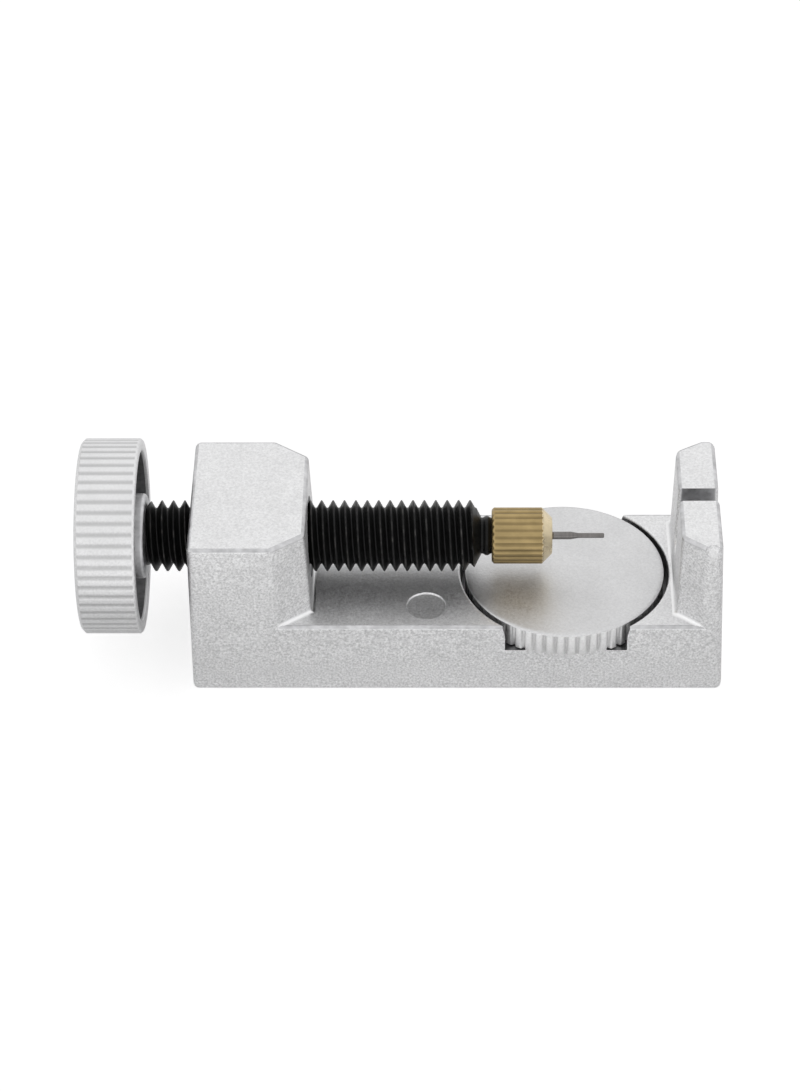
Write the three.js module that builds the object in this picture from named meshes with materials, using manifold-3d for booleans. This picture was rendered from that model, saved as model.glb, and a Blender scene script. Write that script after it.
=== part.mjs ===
// A small bench tool that pushes the pins out of metal watch bands: a cast
// frame with two towers, a threaded spindle with a knurled knob, a push pin in
// a brass cap, and a knurled wheel that lifts the band to the pin's height.
// Millimetres, +Z up. The spindle lies along X, the knob at the low end.

import * as THREE from 'three';
import { mergeVertices } from 'three/addons/utils/BufferGeometryUtils.js';
import Module from 'manifold-3d';

const wasm = await Module();
wasm.setup();

// Frame: base bar, spindle tower at the knob end, anvil tower at the far end.
// Lengths are taken at the underside, drafts are the casting's taper in degrees.
const FRAME_LENGTH = 58.1;
const FRAME_DEPTH = 19.65;
const FRAME_HEIGHT = 19.65;
const BASE_HEIGHT = 8.95;
const KNOB_END_DRAFT = 0.5;
const ANVIL_END_DRAFT = 1.9;
const SIDE_DRAFT = 1.4;
const KNOB_END_CORNER = 0.85;
const ANVIL_END_CORNER = 1.1;
const UNDERSIDE_CHAMFER = 0.4;
const FOOT_FILLET = 0.45;

const TOWER_LENGTH = 13.2;
const TOWER_DRAFT = 2.4;
const TOWER_CHAMFER_LENGTH = 3.7;
const TOWER_CHAMFER_DEPTH = 2.6;

const ANVIL_LENGTH = 5.25;
const ANVIL_DRAFT = 1.3;
const ANVIL_CHAMFER_LENGTH = 2.9;
const ANVIL_CHAMFER_DEPTH = 2.2;
const ANVIL_BACK_CHAMFER_DEPTH = 1.7;
const SLOT_WIDTH = 2.1;
const SLOT_DEPTH = 8;
const GATE_MARK_WIDTH = 1.7;
const GATE_MARK_DEPTH = 0.4;
const GATE_MARK_SETBACK = 1.1;
const GATE_MARK_DROP = 0.15;

const EJECTOR_MARK_DIAMETER = 4.5;
const EJECTOR_MARK_DEPTH = 0.15;
const EJECTOR_MARK_SETBACK = 15.2;
const EJECTOR_MARK_OFFSET = 5.9;

// Spindle thread, and how far each stretch of the spindle reaches along X
const SPINDLE_HEIGHT = 13.85;
const SPINDLE_DIAMETER = 7.8;
const SPINDLE_ROOT_DIAMETER = 6.15;
const SPINDLE_PITCH = 1.25;
const SPINDLE_CREST_FLAT = 0.16;
const SPINDLE_REACH = 31.7;
const SPINDLE_CONE_LENGTH = 0.95;
const SPINDLE_START_CHAMFER = 0.4;
const NECK_DIAMETER = 4.1;
const NECK_LENGTH = 1.15;
const NOSE_DIAMETER = 3.2;
const NOSE_LENGTH = 3.1;
const JOURNAL_DIAMETER = 6;
const JOURNAL_FLAT_DEPTH = 0.6;

// Knob: a knurled cup, open towards the tower, on a central boss
const KNOB_DIAMETER = 21.4;
const KNOB_LENGTH = 6.5;
const KNOB_STANDOFF = 5.4;
const KNOB_WEB = 1.9;
const KNOB_WALL = 1.4;
const KNOB_BOSS_DIAMETER = 9.3;
const KNOB_BOSS_PROUD = 0.5;
const KNOB_CHAMFER = 0.4;
const KNOB_FLUTES = 56;
const KNOB_FLUTE_DEPTH = 0.32;
const KNOB_VALLEY_SHARE = 0.6;

// Countersunk screw that holds the knob on the spindle's journal
const KNOB_SCREW_DIAMETER = 3;
const KNOB_SCREW_HEAD_DIAMETER = 5.6;
const KNOB_SCREW_HEAD_HEIGHT = 1.4;
const KNOB_SCREW_LENGTH = 6;
const KNOB_SCREW_SLOT_WIDTH = 0.8;
const KNOB_SCREW_SLOT_DEPTH = 0.7;

// Brass cap screwed over the spindle's nose, clamping the push pin's head
const CAP_DIAMETER = 6.15;
const CAP_LENGTH = 6.6;
const CAP_CHAMFER = 1.1;
const CAP_FLUTES = 24;
const CAP_FLUTE_DEPTH = 0.22;
const CAP_VALLEY_SHARE = 0.6;

// Push pin: head inside the cap, shank, taper and thin tip
const PIN_HEAD_DIAMETER = 2.6;
const PIN_HEAD_LENGTH = 1;
const PIN_SHANK_DIAMETER = 0.85;
const PIN_SHANK_PROUD = 2.05;
const PIN_TAPER_LENGTH = 0.85;
const PIN_TIP_DIAMETER = 0.55;
const PIN_TIP_LENGTH = 2.8;
const PIN_TIP_ROUNDING = 0.1;

// Height wheel in its pocket, on a threaded stem through the base
const WHEEL_DIAMETER = 21.9;
const WHEEL_THICKNESS = 3.1;
const WHEEL_SETBACK = 17.2;
const WHEEL_CHAMFER = 0.45;
const WHEEL_FLUTES = 57;
const WHEEL_FLUTE_DEPTH = 0.45;
const WHEEL_VALLEY_SHARE = 0.36;
const WHEEL_SUNK = 0.03;
const WHEEL_RISE = 0.8;
const POCKET_CLEARANCE = 0.55;
const STEM_DIAMETER = 5;
const STEM_ROOT_DIAMETER = 4;
const STEM_PITCH = 0.8;
const STEM_CREST_FLAT = 0.1;
const STEM_SPIGOT_DIAMETER = 3.6;
const STEM_SPIGOT_LENGTH = 1.5;
const STEM_LIFT = 0.45;

// Retaining clip in the stem's groove, inside a counterbore of the underside
const CLIP_DIAMETER = 7.6;
const CLIP_THICKNESS = 0.6;
const CLIP_MOUTH = 2.2;
const CLIP_GROOVE_DIAMETER = 3;
const CLIP_GROOVE_WIDTH = 1.1;
const CLIP_FLANGE = 0.5;
const COUNTERBORE_DIAMETER = 8.8;

// Clearances: running parts, seated parts, threads, and the overrun of cuts
const RUNNING_GAP = 0.3;
const SEAT_GAP = 0.2;
const PIN_HOLE_GAP = 0.15;
const THREAD_GAP = 0.2;
const THREAD_MOUTH_CHAMFER = 0.4;
const OVERRUN = 1;

// Facets of round shapes
const THREAD_STEPS = 16;
const STEM_THREAD_STEPS = 12;
const LARGE_ROUND = 72;
const SMALL_ROUND = 24;
const CORNER_STEPS = 3;
const FILLET_STEPS = 3;
const FLANK_ANGLE = 30;

const tangent = degrees => Math.tan(THREE.MathUtils.degToRad(degrees));

// Solids

function withSharedCorners(geometry) {
  const bare = geometry.clone();
  bare.deleteAttribute('normal');
  bare.deleteAttribute('uv');
  return mergeVertices(bare);
}

function cornersOf(index) {
  const corners = [];
  for (let i = 0; i < index.length; i += 3) {
    const [a, b, c] = [index[i], index[i + 1], index[i + 2]];
    if (a !== b && b !== c && c !== a) corners.push([a, b, c]);
  }
  return corners;
}

function signedVolume(positions, corners) {
  const at = i => new THREE.Vector3().fromArray(positions, 3 * i);
  return corners.reduce((sum, [a, b, c]) => sum + at(a).dot(at(b).cross(at(c))), 0);
}

function solid(geometry) {
  const shared = withSharedCorners(geometry);
  const positions = shared.getAttribute('position').array;
  const corners = cornersOf(shared.getIndex().array);
  const facesOut = signedVolume(positions, corners) > 0;
  const ordered = facesOut ? corners : corners.map(([a, b, c]) => [a, c, b]);
  const mesh = new wasm.Mesh({
    numProp: 3,
    vertProperties: new Float32Array(positions),
    triVerts: new Uint32Array(ordered.flat()),
  });
  return new wasm.Manifold(mesh);
}

function united(...solids) {
  return solids.reduce((whole, piece) => whole.add(piece));
}

function cutBy(body, ...cutters) {
  return cutters.reduce((rest, cutter) => rest.subtract(cutter), body);
}

function namedMesh(name, body, material) {
  const { vertProperties, triVerts } = body.getMesh();
  const geometry = new THREE.BufferGeometry();
  geometry.setAttribute('position', new THREE.BufferAttribute(vertProperties, 3));
  geometry.setIndex(new THREE.BufferAttribute(triVerts, 1));
  geometry.computeVertexNormals();
  const mesh = new THREE.Mesh(geometry, material);
  mesh.name = name;
  return mesh;
}

function finish(color, roughness, metalness) {
  return new THREE.MeshStandardMaterial({ color, roughness, metalness });
}

// A body through outlines at rising heights, all with the same number of points
function stacked(levels) {
  const count = levels[0].outline.length;
  const corners = levels.flatMap(({ height, outline }) => outline.map(p => [p.x, p.y, height]));
  const faces = [];
  for (let level = 0; level + 1 < levels.length; level += 1) {
    for (let i = 0; i < count; i += 1) {
      const a = level * count + i;
      const b = level * count + ((i + 1) % count);
      faces.push([a, b, b + count], [a, b + count, a + count]);
    }
  }
  const last = levels.length - 1;
  for (const [a, b, c] of THREE.ShapeUtils.triangulateShape(levels[0].outline, [])) {
    faces.push([a, c, b]);
  }
  for (const face of THREE.ShapeUtils.triangulateShape(levels[last].outline, [])) {
    faces.push(face.map(i => i + last * count));
  }
  const geometry = new THREE.BufferGeometry();
  geometry.setAttribute('position', new THREE.Float32BufferAttribute(corners.flat(), 3));
  geometry.setIndex(faces.flat());
  return solid(geometry);
}

// A body turned about Z from [radius, height] pairs
function turned(profile, segments) {
  const points = profile.map(([radius, height]) => new THREE.Vector2(radius, height));
  return solid(new THREE.LatheGeometry(points, segments).rotateX(Math.PI / 2));
}

function rod(diameter, from, to, segments) {
  const radius = diameter / 2;
  return turned([[0, from], [radius, from], [radius, to], [0, to]], segments);
}

// The outline of a straight knurl: lands, and flat valleys between sloping sides
function knurledOutline(radius, depth, flutes, valleyShare) {
  const slopeShare = valleyShare / 4;
  const landShare = 1 - valleyShare;
  const corners = [[0, 0], [landShare, 0], [landShare + slopeShare, depth], [1 - slopeShare, depth]];
  const outline = [];
  for (let i = 0; i < flutes; i += 1) {
    for (const [share, drop] of corners) {
      const angle = ((i + share) / flutes) * 2 * Math.PI;
      outline.push(new THREE.Vector2(Math.cos(angle), Math.sin(angle)).multiplyScalar(radius - drop));
    }
  }
  return outline;
}

function inset(outline, distance) {
  return outline.map(p => p.clone().setLength(p.length() - distance));
}

// A right-hand screw about Z that reaches past both ends, crests at whole turns
function screw({ diameter, rootDiameter, pitch, crestFlat, from, to, steps }) {
  const crest = diameter / 2;
  const root = rootDiameter / 2;
  const halfCrest = crestFlat / 2;
  const halfBase = halfCrest + (crest - root) * tangent(FLANK_ANGLE);
  const section = [[root, -halfBase], [crest, -halfCrest], [crest, halfCrest], [root, halfBase]];
  const firstTurn = Math.floor(from / pitch) - 1;
  const lastTurn = Math.ceil(to / pitch);
  const points = section.length;
  const rows = points * (lastTurn - firstTurn + 1);

  const corners = [];
  const addColumn = (column, rowCount) => {
    const angle = (column / steps) * 2 * Math.PI;
    for (let row = 0; row < rowCount; row += 1) {
      const [radius, along] = section[row % points];
      const turn = firstTurn + Math.floor(row / points) + column / steps;
      corners.push([radius * Math.cos(angle), radius * Math.sin(angle), turn * pitch + along]);
    }
  };
  addColumn(0, rows + points);
  for (let column = 1; column < steps; column += 1) addColumn(column, rows);
  const bottom = corners.push([0, 0, firstTurn * pitch]) - 1;
  const top = corners.push([0, 0, (lastTurn + 1) * pitch]) - 1;

  // one turn on, the first column comes round again a turn higher
  const at = (column, row) => {
    if (column === steps) return row + points;
    return column === 0 ? row : column * rows + points + row;
  };
  const faces = [];
  for (let column = 0; column < steps; column += 1) {
    for (let row = 0; row + 1 < rows; row += 1) {
      const low = at(column + 1, row);
      const high = at(column + 1, row + 1);
      faces.push([at(column, row), low, high], [at(column, row), high, at(column, row + 1)]);
    }
    faces.push([at(column + 1, 0), at(column, 0), bottom]);
    faces.push([at(column, rows - 1), at(column + 1, rows - 1), top]);
  }
  for (let row = 0; row < points; row += 1) {
    faces.push([row, row + 1, bottom]);
    faces.push([rows + row, rows + row - 1, top]);
  }
  const geometry = new THREE.BufferGeometry();
  geometry.setAttribute('position', new THREE.Float32BufferAttribute(corners.flat(), 3));
  geometry.setIndex(faces.flat());
  return solid(geometry);
}

function alongX(body) {
  return body.rotate([0, 90, 0]);
}

// The frame's drafted faces, and the places that other pieces follow

const knobEndAt = height => height * tangent(KNOB_END_DRAFT);
const anvilEndAt = height => FRAME_LENGTH - height * tangent(ANVIL_END_DRAFT);
const sideAt = height => FRAME_DEPTH / 2 - height * tangent(SIDE_DRAFT);
const towerFaceAt = height => TOWER_LENGTH - (height - BASE_HEIGHT) * tangent(TOWER_DRAFT);
const anvilFaceAt = height => FRAME_LENGTH - ANVIL_LENGTH + (height - BASE_HEIGHT) * tangent(ANVIL_DRAFT);

const wheelX = FRAME_LENGTH - WHEEL_SETBACK;
const wheelTop = BASE_HEIGHT - WHEEL_SUNK;
const wheelUnderside = wheelTop - WHEEL_THICKNESS;
const pocketFloor = wheelUnderside - RUNNING_GAP;
const pocketDiameter = WHEEL_DIAMETER + 2 * POCKET_CLEARANCE;

const grooveFloor = STEM_LIFT + CLIP_FLANGE;
const grooveTop = grooveFloor + CLIP_GROOVE_WIDTH;
const clipMiddle = (grooveFloor + grooveTop) / 2;
const clipUnderside = clipMiddle - CLIP_THICKNESS / 2;
const clipTop = clipMiddle + CLIP_THICKNESS / 2;
const counterboreDepth = clipTop + WHEEL_RISE + SEAT_GAP;

const knobRim = -KNOB_STANDOFF;
const knobOuterFace = knobRim - KNOB_LENGTH;
const knobBossFace = knobRim + KNOB_BOSS_PROUD;
const journalEnd = knobOuterFace + KNOB_SCREW_HEAD_HEIGHT + SEAT_GAP;
const threadStart = knobBossFace + SEAT_GAP;
const capStart = SPINDLE_REACH + NECK_LENGTH;
const capEnd = capStart + CAP_LENGTH;
const noseEnd = capStart + NOSE_LENGTH;
const pinHeadStart = noseEnd + SEAT_GAP;
const pinShankStart = pinHeadStart + PIN_HEAD_LENGTH;
const capShoulder = pinShankStart + SEAT_GAP;
const pinTaperStart = capEnd + PIN_SHANK_PROUD;
const pinTipStart = pinTaperStart + PIN_TAPER_LENGTH;
const pinEnd = pinTipStart + PIN_TIP_LENGTH;

const spindleThread = {
  diameter: SPINDLE_DIAMETER,
  rootDiameter: SPINDLE_ROOT_DIAMETER,
  pitch: SPINDLE_PITCH,
  crestFlat: SPINDLE_CREST_FLAT,
  steps: THREAD_STEPS,
};
const stemThread = {
  diameter: STEM_DIAMETER,
  rootDiameter: STEM_ROOT_DIAMETER,
  pitch: STEM_PITCH,
  crestFlat: STEM_CREST_FLAT,
  steps: STEM_THREAD_STEPS,
};

// The cutter for the thread that a screw runs in, clear of it all round
function threadCutter(thread, from, to) {
  return screw({
    ...thread,
    diameter: thread.diameter + 2 * THREAD_GAP,
    rootDiameter: thread.rootDiameter + 2 * THREAD_GAP,
    from,
    to,
  });
}

// Frame

function roundedRectangle(left, right, half, leftRadius, rightRadius) {
  const outline = [];
  const corners = [
    [right - rightRadius, half - rightRadius, 0, rightRadius],
    [left + leftRadius, half - leftRadius, 1, leftRadius],
    [left + leftRadius, leftRadius - half, 2, leftRadius],
    [right - rightRadius, rightRadius - half, 3, rightRadius],
  ];
  for (const [x, y, quarter, radius] of corners) {
    for (let step = 0; step <= CORNER_STEPS; step += 1) {
      const angle = ((quarter + step / CORNER_STEPS) * Math.PI) / 2;
      outline.push(new THREE.Vector2(x + radius * Math.cos(angle), y + radius * Math.sin(angle)));
    }
  }
  return outline;
}

function frameBlock() {
  const level = (height, margin) => ({
    height,
    outline: roundedRectangle(
      knobEndAt(height) + margin,
      anvilEndAt(height) - margin,
      sideAt(height) - margin,
      KNOB_END_CORNER,
      ANVIL_END_CORNER,
    ),
  });
  return stacked([level(0, UNDERSIDE_CHAMFER), level(UNDERSIDE_CHAMFER, 0), level(FRAME_HEIGHT, 0)]);
}

// The bay between the towers, with their chamfered corners and foot fillets
function bayOutline(height, margin) {
  const tower = towerFaceAt(height) + margin;
  const anvil = anvilFaceAt(height) - margin;
  const side = sideAt(height);
  const towerRun = TOWER_CHAMFER_LENGTH * (1 + OVERRUN / TOWER_CHAMFER_DEPTH);
  const half = anvilChamferDepth => [
    [tower, side - TOWER_CHAMFER_DEPTH],
    [tower - towerRun, side + OVERRUN],
    [anvil + ANVIL_CHAMFER_LENGTH * (1 + OVERRUN / anvilChamferDepth), side + OVERRUN],
    [anvil, side - anvilChamferDepth],
  ];
  const front = half(ANVIL_CHAMFER_DEPTH).map(([x, y]) => new THREE.Vector2(x, -y));
  const back = half(ANVIL_BACK_CHAMFER_DEPTH).map(([x, y]) => new THREE.Vector2(x, y));
  return [...front, ...back.reverse()];
}

function bay() {
  const levels = [];
  for (let step = 0; step <= FILLET_STEPS; step += 1) {
    const angle = (step / FILLET_STEPS) * (Math.PI / 2);
    const height = BASE_HEIGHT + FOOT_FILLET * (1 - Math.cos(angle));
    levels.push({ height, outline: bayOutline(height, FOOT_FILLET * (1 - Math.sin(angle))) });
  }
  const top = FRAME_HEIGHT + OVERRUN;
  levels.push({ height: top, outline: bayOutline(top, 0) });
  return stacked(levels);
}

function spindleBore() {
  const from = knobEndAt(SPINDLE_HEIGHT);
  const to = towerFaceAt(SPINDLE_HEIGHT);
  const root = SPINDLE_ROOT_DIAMETER / 2;
  const wide = SPINDLE_DIAMETER / 2 + THREAD_GAP + THREAD_MOUTH_CHAMFER + OVERRUN;
  const near = from - OVERRUN;
  const far = to + OVERRUN;
  const reach = wide - root;
  const nearMouth = turned([[0, near], [wide, near], [root, near + reach], [0, near + reach]], THREAD_STEPS);
  const farMouth = turned([[0, far - reach], [root, far - reach], [wide, far], [0, far]], THREAD_STEPS);
  const bore = united(threadCutter(spindleThread, from, to), nearMouth, farMouth);
  return alongX(bore).translate([0, 0, SPINDLE_HEIGHT]);
}

function anvilSlot() {
  const half = SLOT_WIDTH / 2;
  const floor = FRAME_HEIGHT - SLOT_DEPTH;
  const top = FRAME_HEIGHT + OVERRUN;
  const outline = new THREE.Shape();
  outline.moveTo(half, top);
  outline.lineTo(-half, top);
  outline.lineTo(-half, floor + half);
  outline.absarc(0, floor + half, half, Math.PI, 2 * Math.PI, false);
  outline.closePath();
  const start = anvilFaceAt(BASE_HEIGHT) - OVERRUN;
  const depth = FRAME_LENGTH + OVERRUN - start;
  const bar = new THREE.ExtrudeGeometry(outline, { depth, bevelEnabled: false, curveSegments: SMALL_ROUND / 2 });
  const acrossTheAnvil = new THREE.Matrix4().makeBasis(
    new THREE.Vector3(0, 1, 0),
    new THREE.Vector3(0, 0, 1),
    new THREE.Vector3(1, 0, 0),
  );
  bar.applyMatrix4(acrossTheAnvil);
  return solid(bar).translate([start, 0, 0]);
}

// A shallow scoop where the casting's gate was trimmed, high on the anvil's front
function gateMark() {
  const half = GATE_MARK_WIDTH / 2;
  const radius = (half * half + GATE_MARK_DEPTH * GATE_MARK_DEPTH) / (2 * GATE_MARK_DEPTH);
  const ball = solid(new THREE.SphereGeometry(radius, SMALL_ROUND, SMALL_ROUND / 2));
  const height = FRAME_HEIGHT - GATE_MARK_DROP;
  const x = anvilEndAt(height) - GATE_MARK_SETBACK;
  return ball.translate([x, -sideAt(height) + GATE_MARK_DEPTH - radius, height]);
}

function ejectorMark() {
  const mark = rod(EJECTOR_MARK_DIAMETER, BASE_HEIGHT - EJECTOR_MARK_DEPTH, BASE_HEIGHT + OVERRUN, SMALL_ROUND);
  return mark.translate([wheelX - EJECTOR_MARK_SETBACK, -EJECTOR_MARK_OFFSET, 0]);
}

function wheelCuts() {
  const pocket = rod(pocketDiameter, pocketFloor, BASE_HEIGHT + OVERRUN, LARGE_ROUND);
  const counterbore = rod(COUNTERBORE_DIAMETER, -OVERRUN, counterboreDepth, LARGE_ROUND / 2);
  const bore = threadCutter(stemThread, counterboreDepth, pocketFloor);
  return united(pocket, counterbore, bore).translate([wheelX, 0, 0]);
}

function frame() {
  return cutBy(frameBlock(), bay(), spindleBore(), anvilSlot(), gateMark(), ejectorMark(), wheelCuts());
}

// Spindle and what turns with it, drawn along Z from the frame's knob end

function flattened(body, diameter, flatDepth, from, to) {
  const side = diameter / 2 + OVERRUN;
  const thickness = flatDepth + OVERRUN;
  const slab = solid(new THREE.BoxGeometry(thickness, 2 * side, to - from));
  const place = diameter / 2 - flatDepth + thickness / 2;
  const middle = (from + to) / 2;
  return cutBy(body, slab.translate([place, 0, middle]), slab.translate([-place, 0, middle]));
}

function driveSpindle() {
  const crest = SPINDLE_DIAMETER / 2;
  const root = SPINDLE_ROOT_DIAMETER / 2;
  const neck = NECK_DIAMETER / 2;
  const nose = NOSE_DIAMETER / 2;
  const wide = crest + OVERRUN;
  const coneRun = (SPINDLE_CONE_LENGTH * (wide - neck)) / (crest - neck);
  const envelope = turned([
    [0, threadStart],
    [crest - SPINDLE_START_CHAMFER, threadStart],
    [wide, threadStart + SPINDLE_START_CHAMFER + OVERRUN],
    [wide, SPINDLE_REACH - coneRun],
    [neck, SPINDLE_REACH],
    [0, SPINDLE_REACH],
  ], LARGE_ROUND);
  const thread = screw({ ...spindleThread, from: threadStart, to: SPINDLE_REACH }).intersect(envelope);
  const end = turned([
    [0, SPINDLE_REACH - OVERRUN],
    [neck, SPINDLE_REACH - OVERRUN],
    [neck, capStart - SEAT_GAP],
    [nose, capStart - SEAT_GAP],
    [nose, noseEnd],
    [0, noseEnd],
  ], SMALL_ROUND);
  const journal = flattened(
    rod(JOURNAL_DIAMETER, journalEnd, threadStart + root, SMALL_ROUND),
    JOURNAL_DIAMETER,
    JOURNAL_FLAT_DEPTH,
    journalEnd - OVERRUN,
    threadStart,
  );
  const screwHoleEnd = knobOuterFace + KNOB_SCREW_LENGTH + SEAT_GAP;
  const screwHole = rod(KNOB_SCREW_DIAMETER + 2 * SEAT_GAP, journalEnd - OVERRUN, screwHoleEnd, SMALL_ROUND);
  return cutBy(united(thread, end, journal), screwHole);
}

// The countersunk head's cone, grown by a gap where the knob is cut for it
function headCone(gap) {
  const head = KNOB_SCREW_HEAD_DIAMETER / 2 + gap;
  const shank = KNOB_SCREW_DIAMETER / 2 + gap;
  const base = knobOuterFace + KNOB_SCREW_HEAD_HEIGHT;
  return turned([[0, knobOuterFace], [head, knobOuterFace], [shank, base], [0, base]], SMALL_ROUND);
}

function driveKnob() {
  const outline = knurledOutline(KNOB_DIAMETER / 2, KNOB_FLUTE_DEPTH, KNOB_FLUTES, KNOB_VALLEY_SHARE);
  const drum = stacked([
    { height: knobOuterFace, outline: inset(outline, KNOB_CHAMFER) },
    { height: knobOuterFace + KNOB_CHAMFER, outline },
    { height: knobRim - KNOB_CHAMFER, outline },
    { height: knobRim, outline: inset(outline, KNOB_CHAMFER) },
  ]);
  const cavity = rod(KNOB_DIAMETER - 2 * KNOB_WALL, knobOuterFace + KNOB_WEB, knobRim + OVERRUN, LARGE_ROUND);
  const boss = rod(KNOB_BOSS_DIAMETER, knobOuterFace + KNOB_WEB - OVERRUN, knobBossFace, LARGE_ROUND / 2);
  const boreDiameter = JOURNAL_DIAMETER + 2 * SEAT_GAP;
  const boreStart = knobOuterFace + KNOB_SCREW_HEAD_HEIGHT;
  const boreEnd = knobBossFace + OVERRUN;
  const bore = flattened(
    rod(boreDiameter, boreStart, boreEnd, SMALL_ROUND),
    boreDiameter,
    JOURNAL_FLAT_DEPTH,
    boreStart - OVERRUN,
    boreEnd + OVERRUN,
  );
  const recess = rod(KNOB_SCREW_HEAD_DIAMETER + 2 * SEAT_GAP, knobOuterFace - OVERRUN, knobOuterFace, SMALL_ROUND);
  return cutBy(united(cutBy(drum, cavity), boss), bore, headCone(SEAT_GAP), recess);
}

function knobScrew() {
  const end = knobOuterFace + KNOB_SCREW_LENGTH;
  const shank = rod(KNOB_SCREW_DIAMETER, knobOuterFace + KNOB_SCREW_SLOT_DEPTH, end, SMALL_ROUND);
  const slotLength = KNOB_SCREW_HEAD_DIAMETER + OVERRUN;
  const slot = solid(new THREE.BoxGeometry(slotLength, KNOB_SCREW_SLOT_WIDTH, 2 * KNOB_SCREW_SLOT_DEPTH));
  return cutBy(united(headCone(0), shank), slot.translate([0, 0, knobOuterFace]));
}

function pinCap() {
  const outline = knurledOutline(CAP_DIAMETER / 2, CAP_FLUTE_DEPTH, CAP_FLUTES, CAP_VALLEY_SHARE);
  const drum = stacked([
    { height: capStart, outline },
    { height: capEnd - CAP_CHAMFER, outline },
    { height: capEnd, outline: inset(outline, CAP_CHAMFER) },
  ]);
  const bore = rod(NOSE_DIAMETER + 2 * SEAT_GAP, capStart - OVERRUN, capShoulder, SMALL_ROUND);
  const pinHole = rod(PIN_SHANK_DIAMETER + 2 * PIN_HOLE_GAP, capStart, capEnd + OVERRUN, SMALL_ROUND);
  return cutBy(drum, bore, pinHole);
}

function pushPin() {
  const head = PIN_HEAD_DIAMETER / 2;
  const shank = PIN_SHANK_DIAMETER / 2;
  const tip = PIN_TIP_DIAMETER / 2;
  return turned([
    [0, pinHeadStart],
    [head, pinHeadStart],
    [head, pinShankStart],
    [shank, pinShankStart],
    [shank, pinTaperStart],
    [tip, pinTipStart],
    [tip, pinEnd - PIN_TIP_ROUNDING],
    [tip - PIN_TIP_ROUNDING, pinEnd],
    [0, pinEnd],
  ], SMALL_ROUND);
}

// Height wheel, its stem and the clip, drawn about their own axis

function heightWheel() {
  const outline = knurledOutline(WHEEL_DIAMETER / 2, WHEEL_FLUTE_DEPTH, WHEEL_FLUTES, WHEEL_VALLEY_SHARE);
  const disc = stacked([
    { height: wheelUnderside, outline: inset(outline, WHEEL_CHAMFER) },
    { height: wheelUnderside + WHEEL_CHAMFER, outline },
    { height: wheelTop - WHEEL_CHAMFER, outline },
    { height: wheelTop, outline: inset(outline, WHEEL_CHAMFER) },
  ]);
  const socket = rod(STEM_SPIGOT_DIAMETER + 2 * SEAT_GAP, wheelUnderside - OVERRUN,
    wheelUnderside + STEM_SPIGOT_LENGTH + SEAT_GAP, SMALL_ROUND);
  return cutBy(disc, socket);
}

function wheelStem() {
  const shoulder = wheelUnderside - SEAT_GAP;
  const groove = CLIP_GROOVE_DIAMETER / 2;
  const flange = STEM_ROOT_DIAMETER / 2;
  const spigotTop = wheelUnderside + STEM_SPIGOT_LENGTH;
  const envelope = rod(STEM_DIAMETER + OVERRUN, grooveTop, shoulder, SMALL_ROUND);
  const thread = screw({ ...stemThread, from: grooveTop, to: shoulder }).intersect(envelope);
  const foot = turned([
    [0, STEM_LIFT],
    [flange, STEM_LIFT],
    [flange, grooveFloor],
    [groove, grooveFloor],
    [groove, grooveTop + OVERRUN],
    [0, grooveTop + OVERRUN],
  ], SMALL_ROUND);
  const spigot = rod(STEM_SPIGOT_DIAMETER, shoulder - OVERRUN, spigotTop, SMALL_ROUND);
  return united(thread, foot, spigot);
}

function wheelClip() {
  const ring = rod(CLIP_DIAMETER, clipUnderside, clipTop, LARGE_ROUND / 2);
  const holeDiameter = CLIP_GROOVE_DIAMETER + 2 * SEAT_GAP;
  const hole = rod(holeDiameter, clipUnderside - OVERRUN, clipTop + OVERRUN, SMALL_ROUND);
  const mouth = solid(new THREE.BoxGeometry(CLIP_DIAMETER, CLIP_MOUTH, CLIP_THICKNESS + 2 * OVERRUN));
  return cutBy(ring, hole, mouth.translate([CLIP_DIAMETER / 2, 0, clipMiddle]));
}

// Assembly: the frame, the spindle group laid along X, and the wheel group

const castAluminium = finish(0xd3d4d6, 0.62, 0.85);
const knobAluminium = finish(0xd9dadc, 0.5, 0.85);
const wheelAluminium = finish(0xc4c5c7, 0.55, 0.85);
const blackOxide = finish(0x141417, 0.38, 0.7);
const brass = finish(0xc29a52, 0.35, 0.95);
const pinSteel = finish(0x6d6e72, 0.3, 1);
const zincSteel = finish(0xb4b8bd, 0.35, 1);

const spindleGroup = new THREE.Group();
spindleGroup.rotation.y = Math.PI / 2;
spindleGroup.position.z = SPINDLE_HEIGHT;
spindleGroup.add(
  namedMesh('drive_spindle', driveSpindle(), blackOxide),
  namedMesh('drive_knob', driveKnob(), knobAluminium),
  namedMesh('knob_screw', knobScrew(), zincSteel),
  namedMesh('pin_cap', pinCap(), brass),
  namedMesh('push_pin', pushPin(), pinSteel),
);

const wheelGroup = new THREE.Group();
wheelGroup.position.x = wheelX;
wheelGroup.add(
  namedMesh('height_wheel', heightWheel(), wheelAluminium),
  namedMesh('wheel_stem', wheelStem(), zincSteel),
  namedMesh('wheel_clip', wheelClip(), blackOxide),
);

// The origin is under the middle of the whole tool, on its underside
const tool = new THREE.Group();
tool.add(namedMesh('frame', frame(), castAluminium), spindleGroup, wheelGroup);
tool.position.x = -(knobOuterFace + FRAME_LENGTH) / 2;

const part = new THREE.Group();
part.add(tool);

export default part;
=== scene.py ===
"""A watch link remover: cast frame, threaded spindle with knob, brass cap and
push pin, and a height wheel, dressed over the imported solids. Sizes are in
millimetres and become metres where a mesh is made."""
import math

import bmesh
import bpy
import numpy as np
from mathutils import Matrix, Vector


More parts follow.
